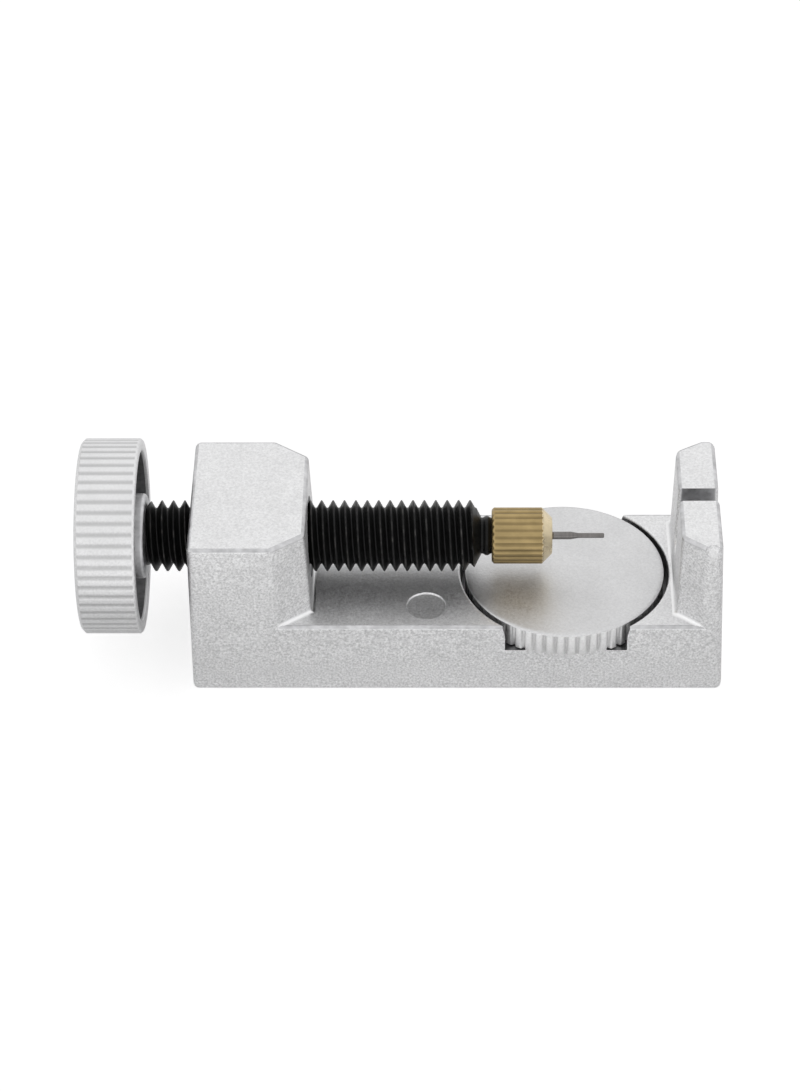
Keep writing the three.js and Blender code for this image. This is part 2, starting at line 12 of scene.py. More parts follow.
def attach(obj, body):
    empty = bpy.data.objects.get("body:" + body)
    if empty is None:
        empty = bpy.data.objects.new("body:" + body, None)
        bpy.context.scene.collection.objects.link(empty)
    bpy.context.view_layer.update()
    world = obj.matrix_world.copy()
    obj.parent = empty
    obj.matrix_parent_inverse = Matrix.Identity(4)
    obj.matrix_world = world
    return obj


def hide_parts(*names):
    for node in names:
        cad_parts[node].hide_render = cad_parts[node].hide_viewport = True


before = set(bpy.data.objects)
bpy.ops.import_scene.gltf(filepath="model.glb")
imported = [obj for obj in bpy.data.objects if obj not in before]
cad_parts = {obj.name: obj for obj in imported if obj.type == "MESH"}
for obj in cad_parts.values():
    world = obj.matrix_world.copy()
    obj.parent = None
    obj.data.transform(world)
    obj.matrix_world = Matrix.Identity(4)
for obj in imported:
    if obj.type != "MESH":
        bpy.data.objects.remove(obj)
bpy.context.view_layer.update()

MM = 0.001
TURN = 2 * math.pi

# The solids' X is counted from the middle of the tool, and places along it below from the frame's
# knob end
SHIFT = 23.1

# Frame
FRAME_LENGTH, FRAME_DEPTH, FRAME_HEIGHT, BASE_HEIGHT = 58.1, 19.65, 19.65, 8.95
KNOB_END_DRAFT, ANVIL_END_DRAFT, SIDE_DRAFT, TOWER_DRAFT, ANVIL_DRAFT = 0.5, 1.9, 1.4, 2.4, 1.3
TOWER_LENGTH, TOWER_CHAMFER = 13.2, (3.7, 2.6)
ANVIL_LENGTH, ANVIL_CHAMFER, ANVIL_BACK_CHAMFER = 5.25, (2.9, 2.2), 1.7
ANVIL_END_CORNER, KNOB_END_CORNER, UNDERSIDE_EDGE = 1.1, 0.85, 0.45
CASTING_EDGE, FOOT_FILLET, ANVIL_BACK_CORNER = 0.4, 0.4, 0.9
SLOT_WIDTH, SLOT_DEPTH, SLOT_EDGE = 2.1, 8.0, 0.45
MARK_X, MARK_Y, MARK_DIAMETER, MARK_DEPTH = 2.6, -6.05, 4.4, 0.2
GATE_RADII, GATE_SETBACK, GATE_HEIGHT, GATE_PROUD = (0.95, 1.2, 1.0), 1.1, 19.55, 0.25
HOLE_RADIUS, HOLE_MOUTH, HOLE_EDGE = 4.02, 4.55, 0.5
STEM_BORE, CLIP_RECESS, CLIP_RECESS_DEPTH = 2.6, 4.4, 2.8
# How much wider each side of the wheel's window is, at its foot and at its top, how deep the
# easing reaches in, and how far under the base's top it starts to widen
WINDOW_EDGE, WINDOW_TOP_EDGE, WINDOW_REACH, WINDOW_BEND = 0.45, 0.85, 1.6, 1.8
# How far a cutter passes the faces that it opens
PAST = 1

# Spindle and what turns with it
SPINDLE_HEIGHT, SPINDLE_DIAMETER, SPINDLE_ROOT, SPINDLE_PITCH = 13.85, 7.8, 6.15, 1.25
SPINDLE_REACH, CONE_LENGTH, NECK_DIAMETER = 31.7, 0.95, 4.1
KNOB_DIAMETER, KNOB_LENGTH, KNOB_STANDOFF, KNOB_WEB, KNOB_WALL = 21.4, 6.5, 5.4, 1.9, 1.4
BOSS_DIAMETER, BOSS_PROUD, KNOB_FLUTES, KNOB_FLUTE_DEPTH = 9.3, 0.5, 56, 0.08
KNOB_OUTER_EDGE, KNOB_RIM_EDGE = 0.4, 0.2
CAP_START, CAP_LENGTH, CAP_DIAMETER, CAP_CHAMFER = 32.85, 6.6, 6.15, 1.1
CAP_FLUTES, CAP_FLUTE_DEPTH = 24, 0.1
PIN_SHANK, PIN_TIP = (0.85, 2.05), (0.55, 2.8)
PIN_TAPER = 0.85
SCREW_HEAD, SCREW_SHANK, CAP_MOUTH = 5.6, 3.0, 0.52
KNOB_LAND, CAP_LAND, WHEEL_LAND = 0.35, 0.3, 0.48

# Height wheel
WHEEL_X, WHEEL_DIAMETER, WHEEL_TOP, WHEEL_THICKNESS = 40.9, 21.89, 8.92, 3.1
WHEEL_FLUTES, WHEEL_FLUTE_DEPTH, WHEEL_EDGE = 57, 0.35, (0.45, 0.13)
POCKET_DIAMETER, POCKET_FLOOR, POCKET_EDGE = 23.0, 5.7, 0.3
STEM_DIAMETER, STEM_ROOT, STEM_PITCH = 5.0, 4.0, 0.8
CLIP_RADII, CLIP_HEIGHTS, CLIP_GAP = (1.7, 3.8), (1.2, 1.8), 0.34


def tangent(degrees):
    return math.tan(math.radians(degrees))


# Places for metals on a piece: its own surface; faces that a tool has cut, in recesses, painted
# dark as shade; edges and fillets; and tooled faces and the tops of rounded edges, painted a
# lighter shade than those cuts
PLACES = "surface", "shaded_cut_surface", "edge_surface", "shaded_tooled_surface"
SURFACE, SHADED_CUT, EDGE, SHADED_TOOLED = range(len(PLACES))


# Meshes

def soften(profile, radius, steps=4):
    """A (radius, height, share of the knurl's depth) profile with its inner corners rounded."""
    points = [np.array((*p, 0.0)[:3], float) for p in profile]
    out = [points[0]]
    for before, corner, after in zip(points, points[1:], points[2:]):
        reach_in = np.linalg.norm((corner - before)[:2])
        reach_out = np.linalg.norm((after - corner)[:2])
        start = corner + (before - corner) * min(radius / reach_in, 0.45)
        end = corner + (after - corner) * min(radius / reach_out, 0.45)
        for step in range(steps + 1):
            t = step / steps
            out.append((1 - t) ** 2 * start + 2 * t * (1 - t) * corner + t * t * end)
    return out + [points[-1]]


def make(name, points, faces, sharp_angle=35.0, unit=MM):
    """An object from points in millimetres, its normals facing out and its sharp edges marked."""
    mesh = bpy.data.meshes.new(name)
    mesh.from_pydata([tuple(p) for p in np.asarray(points) * unit], [], faces)
    bm = bmesh.new()
    bm.from_mesh(mesh)
    bmesh.ops.remove_doubles(bm, verts=bm.verts, dist=1e-4 * unit)
    bmesh.ops.recalc_face_normals(bm, faces=bm.faces)
    bm.to_mesh(mesh)
    bm.free()
    shade(mesh, sharp_angle)
    obj = bpy.data.objects.new(name, mesh)
    bpy.context.scene.collection.objects.link(obj)
    return obj


def shade(mesh, sharp_angle):
    bm = bmesh.new()
    bm.from_mesh(mesh)
    limit = math.radians(sharp_angle)
    for face in bm.faces:
        face.smooth = True
    for edge in bm.edges:
        edge.smooth = len(edge.link_faces) == 2 and edge.calc_face_angle(0.0) < limit
    bm.to_mesh(mesh)
    bm.free()


def flute(share, land):
    """How deep a straight knurl is at a share of its pitch: 0 on the land, 1 in the valley."""
    if share < land:
        return 0.0
    return math.sin(math.pi * (share - land) / (1 - land)) ** 1.3


def turned(profile, columns, flutes=0, depth=0.0, land=0.4, limit=None):
    """Points and faces of a body turned about Z from (radius, height, share of the knurl's depth).
    limit(height) is the largest radius that a later cut leaves there."""
    rows = [tuple(p) + (0.0,) * (3 - len(p)) for p in profile]
    points, faces = [], []
    for column in range(columns):
        angle = TURN * column / columns
        sink = depth * flute((column / columns * flutes) % 1.0, land) if flutes else 0.0
        for radius, height, share in rows:
            here = max(radius - sink * share, 0.0)
            if limit:
                here = min(here, limit(height))
            points.append((here * math.cos(angle), here * math.sin(angle), height))
    count = len(rows)
    for column in range(columns):
        after = (column + 1) % columns
        for row in range(count - 1):
            faces.append((column * count + row, after * count + row,
                          after * count + row + 1, column * count + row + 1))
    return np.array(points), faces


def valleys(piece, depth_at):
    """Keeps how far down a knurl's valley each point lies, 0 to 1, where the materials paint shade.
    """
    kept = piece.data.attributes.new("valley", "FLOAT", "POINT")
    for vertex in piece.data.vertices:
        kept.data[vertex.index].value = min(max(depth_at(vertex.co / MM), 0.0), 1.0)
    return piece


def from_spindle(p):
    return math.hypot(p.y, p.z - SPINDLE_HEIGHT)


def from_wheel(p):
    return math.hypot(p.x + SHIFT - WHEEL_X, p.y)


def thread(section, pitch, start, end, limit, steps=64):
    """A right-hand helical surface about Z. section is (share of the pitch, radius), and
    limit(height) is the largest radius there."""
    count = len(section)
    columns = int(math.ceil((end - start) / pitch + 2) * steps)
    points, faces = [], []
    first = math.floor(start / pitch) - 1
    for column in range(columns):
        angle = TURN * column / steps
        for share, radius in section:
            height = (first + column / steps + share) * pitch
            held = min(max(height, start), end)
            here = min(radius, limit(held))
            points.append((here * math.cos(angle), here * math.sin(angle), held))
    for column in range(columns - 1):
        for row in range(count):
            low, high = column * count + row, column * count + row + 1
            if row == count - 1:
                high = (column + steps) * count
                if column + steps + 1 >= columns:
                    continue
            faces.append((low, low + count, high + count, high))
    return np.array(points), faces


def joined(*shells):
    points, faces, offset = [], [], 0
    for shell_points, shell_faces in shells:
        points.append(shell_points)
        faces += [tuple(i + offset for i in face) for face in shell_faces]
        offset += len(shell_points)
    return np.vstack(points), faces


def along_spindle(shell):
    """A body drawn about Z from the frame's knob end, laid along the spindle's axis."""
    points, faces = shell
    x, y, z = points.T
    return np.column_stack((z - SHIFT, y, SPINDLE_HEIGHT - x)), faces


def about_wheel(shell):
    points, faces = shell
    return points + np.array((WHEEL_X - SHIFT, 0, 0)), faces


def applied(obj):
    """The object's mesh with its modifiers applied."""
    depsgraph = bpy.context.evaluated_depsgraph_get()
    mesh = bpy.data.meshes.new_from_object(obj.evaluated_get(depsgraph))
    obj.modifiers.clear()
    obj.data = mesh
    return obj


def cut(obj, *cutters):
    """The object less all the cutters, in one step."""
    group = bpy.data.collections.new("cutters")
    for cutter in cutters:
        group.objects.link(cutter)
    modifier = obj.modifiers.new("cut", "BOOLEAN")
    modifier.operation, modifier.solver = "DIFFERENCE", "EXACT"
    modifier.operand_type, modifier.collection = "COLLECTION", group
    applied(obj)
    for cutter in cutters:
        bpy.data.objects.remove(cutter)
    bpy.data.collections.remove(group)
    return obj


# Frame

def side_at(z):
    return FRAME_DEPTH / 2 - z * tangent(SIDE_DRAFT)


def tower_face_at(z):
    return TOWER_LENGTH - (z - BASE_HEIGHT) * tangent(TOWER_DRAFT)


def anvil_face_at(z):
    return FRAME_LENGTH - ANVIL_LENGTH + (z - BASE_HEIGHT) * tangent(ANVIL_DRAFT)


def knob_end_at(z):
    return z * tangent(KNOB_END_DRAFT)


def anvil_end_at(z):
    return FRAME_LENGTH - z * tangent(ANVIL_END_DRAFT)


def frame_body():
    """The casting's flat faces, with every edge rounded by its own radius."""
    def corner(x, side, inset, z):
        return (x - SHIFT, side * (side_at(z) - inset), z)

    def across(z, *corners):
        """A level face's outline, along its front corners and back along the same at the back."""
        return [(key, -1, z) for key in corners] + [(key, 1, z) for key in corners[::-1]]

    levels = {}
    for z in (0, BASE_HEIGHT, FRAME_HEIGHT):
        near, far = knob_end_at(z), anvil_end_at(z)
        tower, anvil = tower_face_at(z), anvil_face_at(z)
        for side, anvil_inset in ((-1, ANVIL_CHAMFER[1]), (1, ANVIL_BACK_CHAMFER)):
            levels["near", side, z] = corner(near, side, 0, z)
            levels["far", side, z] = corner(far, side, 0, z)
            levels["tower_out", side, z] = corner(tower - TOWER_CHAMFER[0], side, 0, z)
            levels["tower_in", side, z] = corner(tower, side, TOWER_CHAMFER[1], z)
            levels["anvil_in", side, z] = corner(anvil, side, anvil_inset, z)
            levels["anvil_out", side, z] = corner(anvil + ANVIL_CHAMFER[0], side, 0, z)
    bottom, middle, top = 0, BASE_HEIGHT, FRAME_HEIGHT
    outlines = []
    for side in (-1, 1):
        outlines.append([(name, side, z) for name, z in (
            ("near", bottom), ("far", bottom), ("far", top), ("anvil_out", top),
            ("anvil_out", middle), ("tower_out", middle), ("tower_out", top), ("near", top))])
        for out, inner in (("tower_out", "tower_in"), ("anvil_out", "anvil_in")):
            outlines.append([(out, side, middle), (inner, side, middle),
                             (inner, side, top), (out, side, top)])
    for face in ("near", "far", "tower_in", "anvil_in"):
        low = middle if face.endswith("in") else bottom
        outlines.append([(face, -1, low), (face, 1, low), (face, 1, top), (face, -1, top)])
    outlines.append(across(bottom, "near", "far"))
    outlines.append(across(top, "near", "tower_out", "tower_in"))
    outlines.append(across(top, "far", "anvil_out", "anvil_in"))
    outlines.append(across(middle, "tower_in", "tower_out", "anvil_out", "anvil_in"))
    names = sorted({key for outline in outlines for key in outline})
    number = {key: i for i, key in enumerate(names)}
    faces = [[number[key] for key in outline] for outline in outlines]
    body = with_places(make("frame_casting", [levels[key] for key in names], faces, unit=1))

    def radius(edge):
        first, second = (names[edge.vertices[0]], names[edge.vertices[1]])
        upright = first[2] != second[2]
        kinds = {first[0], second[0]}
        if upright and kinds == {"far"}:
            return ANVIL_END_CORNER
        if upright and kinds == {"near"}:
            return KNOB_END_CORNER
        if first[2] == second[2] == bottom:
            return UNDERSIDE_EDGE
        if first[2] == second[2] == middle and kinds != {"tower_out", "anvil_out"}:
            return FOOT_FILLET
        if upright and "anvil_in" in kinds and first[1] > 0:
            return ANVIL_BACK_CORNER
        return CASTING_EDGE

    mesh = body.data
    weights = mesh.attributes.new("bevel_weight_edge", "FLOAT", "EDGE")
    for edge in mesh.edges:
        weights.data[edge.index].value = radius(edge) / ANVIL_END_CORNER
    bevel = body.modifiers.new("edges", "BEVEL")
    bevel.limit_method, bevel.width = "WEIGHT", ANVIL_END_CORNER
    bevel.segments, bevel.material = 5, EDGE
    bevel.use_clamp_overlap = False
    applied(body)
    # Only the fillets at the towers' feet keep the edge's metal, a lighter one that paints a
    # highlight along them. The tops of the other rounded edges take a darker metal, painted shade.
    for face in body.data.polygons:
        at_foot = BASE_HEIGHT < face.center.z < BASE_HEIGHT + FOOT_FILLET
        if face.material_index == EDGE and not at_foot:
            face.material_index = SHADED_TOOLED if face.normal.z > 0.2 else SURFACE
    return body


def slot_cutter():
    """The anvil's slot, whose walls flare where they meet the anvil's two faces."""
    half, middle = SLOT_WIDTH / 2, FRAME_HEIGHT - SLOT_DEPTH + SLOT_WIDTH / 2

    def outline(grow):
        arc = [((half + grow) * math.cos(a), middle + (half + grow) * math.sin(a))
               for a in np.linspace(0, -math.pi, 25)]
        above = FRAME_HEIGHT + PAST
        return [(half + grow, above)] + arc + [(-half - grow, above)]

    flare = [(SLOT_EDGE * (1 - math.cos(a)), SLOT_EDGE * (1 - math.sin(a)))
             for a in np.linspace(0, math.pi / 2, 7)]
    stations = [(-PAST, SLOT_EDGE)] + flare
    rings = [[(anvil_face_at(z) + depth, y, z) for y, z in outline(grow)]
             for depth, grow in stations]
    rings += [[(anvil_end_at(z) - depth, y, z) for y, z in outline(grow)]
              for depth, grow in stations[::-1]]
    middle_x = (anvil_face_at(middle) + anvil_end_at(middle)) / 2 - SHIFT
    reach = (anvil_end_at(middle) - anvil_face_at(middle)) / 2 - SLOT_EDGE
    # The slot's walls away from its ends take a darker metal, painted shade; its ends keep the cast
    # metal
    return cutter(lofted(rings), lambda p: SHADED_TOOLED if abs(p.x - middle_x) < reach else SURFACE)


def lofted(rings):
    """A closed body through rings of points, counted from the frame's knob end."""
    count = len(rings[0])
    points = [(x - SHIFT, y, z) for ring in rings for x, y, z in ring]
    total = len(points)
    faces = [(a + i, a + (i + 1) % count, b + (i + 1) % count, b + i)
             for a, b in zip(range(0, total, count), range(count, total, count))
             for i in range(count)]
    return points, faces + [tuple(range(count)), tuple(range(total - count, total))]


def window_cutter(side):
    """Eases the sides of the window that the wheel's pocket opens in the frame's front or back."""
    reach = side_at(POCKET_FLOOR)
    bend = BASE_HEIGHT - WINDOW_BEND
    half = math.sqrt((POCKET_DIAMETER / 2) ** 2 - reach ** 2)
    widening = WINDOW_TOP_EDGE - WINDOW_EDGE

    def ring(depth, grow):
        plan = [(half + grow * WINDOW_EDGE, POCKET_FLOOR)]
        plan += [(half + grow * (WINDOW_EDGE + widening * t * t), bend + (BASE_HEIGHT - bend) * t)
                 for t in np.linspace(0, 1, 6)]
        plan.append((plan[-1][0], BASE_HEIGHT + PAST))
        outline = [(-x, z) for x, z in plan[::-1]] + plan
        return [(WHEEL_X + x, side * (reach - depth), z) for x, z in outline]

    # The window's eased sides take a dark metal that paints their shade
    return cutter(lofted([ring(-PAST, 1), ring(0, 1), ring(WINDOW_REACH, 0)]), lambda p: SHADED_CUT)


def with_places(piece, place_at=lambda middle: SURFACE, unit=1):
    """Gives the piece its places for metals. place_at names the place of the face whose middle, in
    millimetres, it is given. True counts as the second place, which holds painted shade on the
    frame and the knob."""
    for name in PLACES:
        piece.data.materials.append(bpy.data.materials.get(name) or bpy.data.materials.new(name))
    for face in piece.data.polygons:
        face.material_index = int(place_at(face.center / unit))
    return piece


def cutter(shell, place_at=lambda middle: SURFACE):
    """A body to cut the frame with, in millimetres, as the frame is until its last cut."""
    return with_places(make("cutter", *shell, unit=1), place_at)


def frame_cutters():
    # The pocket's wall and floor, the bores and the spindle's hole take a dark metal that paints
    # their shade
    wall, above = POCKET_DIAMETER / 2, BASE_HEIGHT + PAST
    pocket = [(0, POCKET_FLOOR), (wall, POCKET_FLOOR)]
    for angle in np.linspace(0, math.pi / 2, 5):
        pocket.append((wall + POCKET_EDGE * (1 - math.cos(angle)),
                       BASE_HEIGHT - POCKET_EDGE * (1 - math.sin(angle))))
    pocket += [(wall + POCKET_EDGE, above), (0, above)]
    yield cutter(about_wheel(turned(pocket, 144)),
                 lambda p: SHADED_CUT if p.z < BASE_HEIGHT - POCKET_EDGE else SURFACE)
    bore = [(0, -PAST), (CLIP_RECESS, -PAST), (CLIP_RECESS, CLIP_RECESS_DEPTH),
            (STEM_BORE, CLIP_RECESS_DEPTH), (STEM_BORE, POCKET_FLOOR + PAST),
            (0, POCKET_FLOOR + PAST)]
    yield cutter(about_wheel(turned(bore, 72)), lambda p: SHADED_CUT)
    near, far = knob_end_at(SPINDLE_HEIGHT), tower_face_at(SPINDLE_HEIGHT)
    hole = [(0, near - PAST), (HOLE_MOUTH, near - PAST), (HOLE_MOUTH, near),
            (HOLE_RADIUS, near + HOLE_EDGE), (HOLE_RADIUS, far - HOLE_EDGE), (HOLE_MOUTH, far),
            (HOLE_MOUTH, far + PAST), (0, far + PAST)]
    yield cutter(along_spindle(turned(hole, 96)), lambda p: SHADED_CUT)
    yield slot_cutter()
    yield window_cutter(-1)
    yield window_cutter(1)
    ball = [(math.sin(a), -math.cos(a)) for a in np.linspace(0, math.pi, 25)]
    ball[0], ball[-1] = (0, -1), (0, 1)
    points, faces = turned(ball, 48)
    gate = np.array((anvil_end_at(GATE_HEIGHT) - GATE_SETBACK - SHIFT,
                     -side_at(GATE_HEIGHT) - GATE_PROUD, GATE_HEIGHT))
    yield cutter((points * np.array(GATE_RADII) + gate, faces))
    rim, floor = MARK_DIAMETER / 2, BASE_HEIGHT - MARK_DEPTH
    mark = [(0, floor), (rim - 0.2, floor), (rim - 0.1, BASE_HEIGHT - MARK_DEPTH * 0.8),
            (rim, BASE_HEIGHT), (rim + 0.05, BASE_HEIGHT + 0.1), (0, BASE_HEIGHT + 0.1)]
    points, faces = turned(mark, 64)
    yield cutter((points + np.array((MARK_X, MARK_Y, 0)), faces))


def frame_casting():
    body = cut(frame_body(), *frame_cutters())
    body.data.transform(Matrix.Scale(MM, 4))
    shade(body.data, 30.0)
    body.modifiers.new("flat faces", "WEIGHTED_NORMAL").keep_sharp = True
    return body


# Spindle group

def drive_spindle():
    crest, root = SPINDLE_DIAMETER / 2, SPINDLE_ROOT / 2
    neck = NECK_DIAMETER / 2
    start = -KNOB_STANDOFF + BOSS_PROUD - 0.4
    first_crest = -KNOB_STANDOFF + BOSS_PROUD

    def limit(height):
        coned = neck + (crest - neck) * (SPINDLE_REACH - height) / CONE_LENGTH
        begun = root + 0.3 + (height - first_crest) * 0.9
        return max(min(crest, coned, begun), neck)

    depth = crest - root
    flank = depth * tangent(30) / SPINDLE_PITCH
    land = 0.05
    worn = (land, crest - 0.015)
    shoulder = (land + flank * 0.15, crest - depth * 0.15)
    valley = (land + flank * 0.85, crest - depth * 0.86)
    foot = (land + flank, root + 0.02)
    falling = [worn, shoulder, valley, foot]
    rising = [(1 - share, radius) for share, radius in falling[::-1]]
    section = [(0.0, crest), *falling, (0.5, root), *rising]
    helix = thread(section, SPINDLE_PITCH, start, SPINDLE_REACH, limit)
    end, hollow, collar = CAP_START, neck - 0.1, neck + 0.12
    core = [(0, start - 0.5), (root - 0.1, start - 0.5), (root - 0.1, SPINDLE_REACH - 1.2),
            (neck + 0.01, SPINDLE_REACH - 0.25), (hollow, SPINDLE_REACH + 0.15),
            (collar, SPINDLE_REACH + 0.5), (collar, SPINDLE_REACH + 0.75),
            (hollow, end - 0.1), (hollow, end + 0.2), (0, end + 0.2)]
    body = joined(helix, turned(soften(core, 0.15, 3), 64))
    return make("threaded_spindle", *along_spindle(body), sharp_angle=50)


def drive_knob():
    outer, rim = -KNOB_STANDOFF - KNOB_LENGTH, -KNOB_STANDOFF
    radius, cavity, boss = KNOB_DIAMETER / 2, KNOB_DIAMETER / 2 - KNOB_WALL, BOSS_DIAMETER / 2
    floor, face = outer + KNOB_WEB, rim + BOSS_PROUD
    edge, rim_edge = KNOB_OUTER_EDGE, KNOB_RIM_EDGE

    def limit(height):
        return radius - max(edge - (height - outer), rim_edge - (rim - height), 0)

    first, last = outer + edge, rim - rim_edge
    barrel = [(radius, height, 1) for height in (
        first - KNOB_FLUTE_DEPTH, first - 0.1, first, first + 0.1,
        last - 0.1, last, rim - rim_edge / 2)]
    inside = [(radius - rim_edge, rim), (cavity + 0.12, rim), (cavity, rim - 0.15),
              (cavity, floor), (boss + 0.1, floor), (boss, face - 0.25), (boss - 0.25, face),
              (0, face)]
    profile = [(0, outer), (2.0, outer), (radius - edge - 0.06, outer),
               (radius - edge + 0.02, outer + 0.02), *barrel, *soften(inside, 0.22, 3)]
    shell = turned(profile, KNOB_FLUTES * 10, KNOB_FLUTES, KNOB_FLUTE_DEPTH, KNOB_LAND, limit)
    knob = make("knurled_knob", *along_spindle(shell), sharp_angle=50)

    def depth_at(p):
        on_barrel = first < p.x + SHIFT < last and from_spindle(p) > cavity + 0.3
        return (radius - from_spindle(p)) / KNOB_FLUTE_DEPTH if on_barrel else 0

    valleys(knob, depth_at)

    # The cup's inside takes a dark metal and its boss a darker copy of the cast one: painted shade
    # in the cup
    def place_at(p):
        x, r = p.x + SHIFT, from_spindle(p)
        if x < floor - 0.1 or r > cavity + 0.05:
            return SURFACE
        if r < boss + 0.05 and x > floor + 0.3:
            return SHADED_TOOLED
        return SHADED_CUT if x < rim - 0.4 else SURFACE
    return with_places(knob, place_at, MM)


def knob_screw():
    outer = -KNOB_STANDOFF - KNOB_LENGTH
    head, hollow, shank = SCREW_HEAD / 2, 2.0, SCREW_SHANK / 2
    profile = [(0, outer + 0.25), (hollow, outer + 0.25), (head - 0.05, outer + 0.02),
               (head, outer + 0.05), (head, outer + 0.2), (shank, outer + 1.4),
               (shank, outer + 6), (0, outer + 6)]
    return make("knob_end_screw", *along_spindle(turned(soften(profile, 0.08, 3), 64)))


def pin_cap():
    start, end, radius = CAP_START, CAP_START + CAP_LENGTH, CAP_DIAMETER / 2
    face, valley = radius - CAP_CHAMFER, CAP_CHAMFER - CAP_FLUTE_DEPTH

    def limit(height):
        return min(radius, radius - 0.25 + height - start, face + end - height)

    chamfer = end - CAP_CHAMFER
    knurled = [(radius, height, 1) for height in (
        start + 0.05, start + 0.15, start + 0.25, start + 0.4, chamfer - 0.1, chamfer,
        chamfer + 0.07, chamfer + 0.14, end - valley)]
    mouth = [(face + 0.1, end - 0.1), (face, end), (CAP_MOUTH, end), (CAP_MOUTH, end - 0.6),
             (0, end - 0.6)]
    profile = [(0, start), (radius - 0.27, start), *knurled, (radius, end - valley + 0.1),
               (radius, end - 0.1), *soften(mouth, 0.1, 3)]
    shell = turned(profile, CAP_FLUTES * 12, CAP_FLUTES, CAP_FLUTE_DEPTH, CAP_LAND, limit)
    cap = make("brass_cap", *along_spindle(shell), sharp_angle=40)

    def depth_at(p):
        on_knurl = start + 0.3 < p.x + SHIFT < chamfer + 0.05 and from_spindle(p) > radius - 0.5
        return (radius - from_spindle(p)) / CAP_FLUTE_DEPTH if on_knurl else 0

    valleys(cap, depth_at)
    # The chamfer takes a paler brass: fresh-cut metal, with a painted highlight
    return with_places(cap, lambda p: p.x + SHIFT > chamfer and
                       from_spindle(p) > end - p.x - SHIFT + face - 0.04, MM)


def push_pin():
    start = CAP_START + CAP_LENGTH
    (shank, proud), (tip, reach) = PIN_SHANK, PIN_TIP
    taper = start + proud
    end = taper + PIN_TAPER + reach
    profile = [(0, start - 0.5), (shank / 2, start - 0.5), (shank / 2, taper),
               (tip / 2, taper + PIN_TAPER), (tip / 2, end - 0.06), (tip / 2 - 0.08, end), (0, end)]
    return make("steel_push_pin", *along_spindle(turned(soften(profile, 0.05, 3), 48)))


# Wheel group

def height_wheel():
    radius, low, high = WHEEL_DIAMETER / 2, WHEEL_TOP - WHEEL_THICKNESS, WHEEL_TOP
    across, edge = WHEEL_EDGE
    profile = [(0, low), (radius - 0.8, low), (radius - 0.3, low + 0.02, 0.6),
               (radius - 0.15, low + 0.06, 1), (radius, low + 0.2, 1),
               (radius, high - edge - 0.14, 1), (radius, high - edge - 0.04, 0)]
    profile += [(radius - across * (1 - math.cos(a)), high - edge * (1 - math.sin(a)))
                for a in np.linspace(0, math.pi / 2, 11)]
    profile += [(radius - 1.8, high), (0, high)]
    shell = turned(profile, WHEEL_FLUTES * 12, WHEEL_FLUTES, WHEEL_FLUTE_DEPTH, WHEEL_LAND)
    wheel = make("knurled_wheel", *about_wheel(shell), sharp_angle=50)

    def depth_at(p):
        on_rim = low + 0.15 < p.z < high - edge - 0.1 and from_wheel(p) > radius - 0.6
        return (radius - from_wheel(p)) / WHEEL_FLUTE_DEPTH if on_rim else 0

    valleys(wheel, depth_at)
    # The knurled side takes a much lighter copy of the wheel's metal: painted light
    return with_places(wheel, lambda p: p.z < high - edge - 0.02 and
                       from_wheel(p) > radius - 0.6, MM)


def wheel_stem():
    crest, root, pitch = STEM_DIAMETER / 2, STEM_ROOT / 2, STEM_PITCH
    low, high = 2.05, WHEEL_TOP - WHEEL_THICKNESS - 0.1
    section = [(0.0, crest), (0.08, crest - 0.02), (0.42, root), (0.58, root),
               (0.92, crest - 0.02)]
    helix = thread(section, pitch, low, high, lambda height: crest, 32)
    foot, groove = 0.45, 1.5
    core = [(0, foot), (root, foot), (root, foot + 0.5), (groove, foot + 0.5), (groove, low),
            (root + 0.02, low), (root + 0.02, high), (0, high)]
    body = joined(helix, turned(soften(core, 0.08, 2), 48))
    return make("threaded_stem", *about_wheel(body))


def wheel_clip():
    """A C-shaped clip with a rounded edge, open towards the anvil."""
    (inner, outer), (low, high), gap = CLIP_RADII, CLIP_HEIGHTS, CLIP_GAP
    ring = soften([(inner, low), (outer, low), (outer, high), (inner, high), (inner, low)], 0.08, 2)
    columns = 72
    points, faces = [], []
    for column in range(columns + 1):
        angle = gap + (TURN - 2 * gap) * column / columns
        points += [(r * math.cos(angle), r * math.sin(angle), z) for r, z, _ in ring]
    count = len(ring)
    for column in range(columns):
        for row in range(count - 1):
            a = column * count + row
            faces.append((a, a + count, a + count + 1, a + 1))
    faces.append(tuple(range(count - 1)))
    faces.append(tuple(columns * count + i for i in range(count - 1))[::-1])
    return make("retaining_clip", *about_wheel((np.array(points), faces)))


# Materials

def nodes_of(name):
    material = bpy.data.materials.new(name)
    material.use_nodes = True
    tree = material.node_tree
    return material, tree, tree.nodes["Principled BSDF"]


def noise(tree, scale, detail=2.0, roughness=0.5, stretch=(1, 1, 1)):
    """A noise fixed to the piece. scale is features per metre."""
    place = tree.nodes.new("ShaderNodeTexCoord")
    mapping = tree.nodes.new("ShaderNodeMapping")
    mapping.inputs["Scale"].default_value = stretch
    texture = tree.nodes.new("ShaderNodeTexNoise")
    texture.inputs["Scale"].default_value = scale
    texture.inputs["Detail"].default_value = detail
    texture.inputs["Roughness"].default_value = roughness
    tree.links.new(place.outputs["Object"], mapping.inputs["Vector"])
    tree.links.new(mapping.outputs["Vector"], texture.inputs["Vector"])
    return texture.outputs["Fac"]


def ramp(tree, value, stops):
    """The value as a colour between stops of (value, colour)."""
    node = tree.nodes.new("ShaderNodeValToRGB")
    elements = node.color_ramp.elements
    while len(elements) < len(stops):
        elements.new(0.5)
    for element, (position, color) in zip(elements, stops):
        element.position, element.color = position, (*color, 1)
    tree.links.new(value, node.inputs["Fac"])
    return node.outputs["Color"]


def grey(value):
    return (value, value, value)


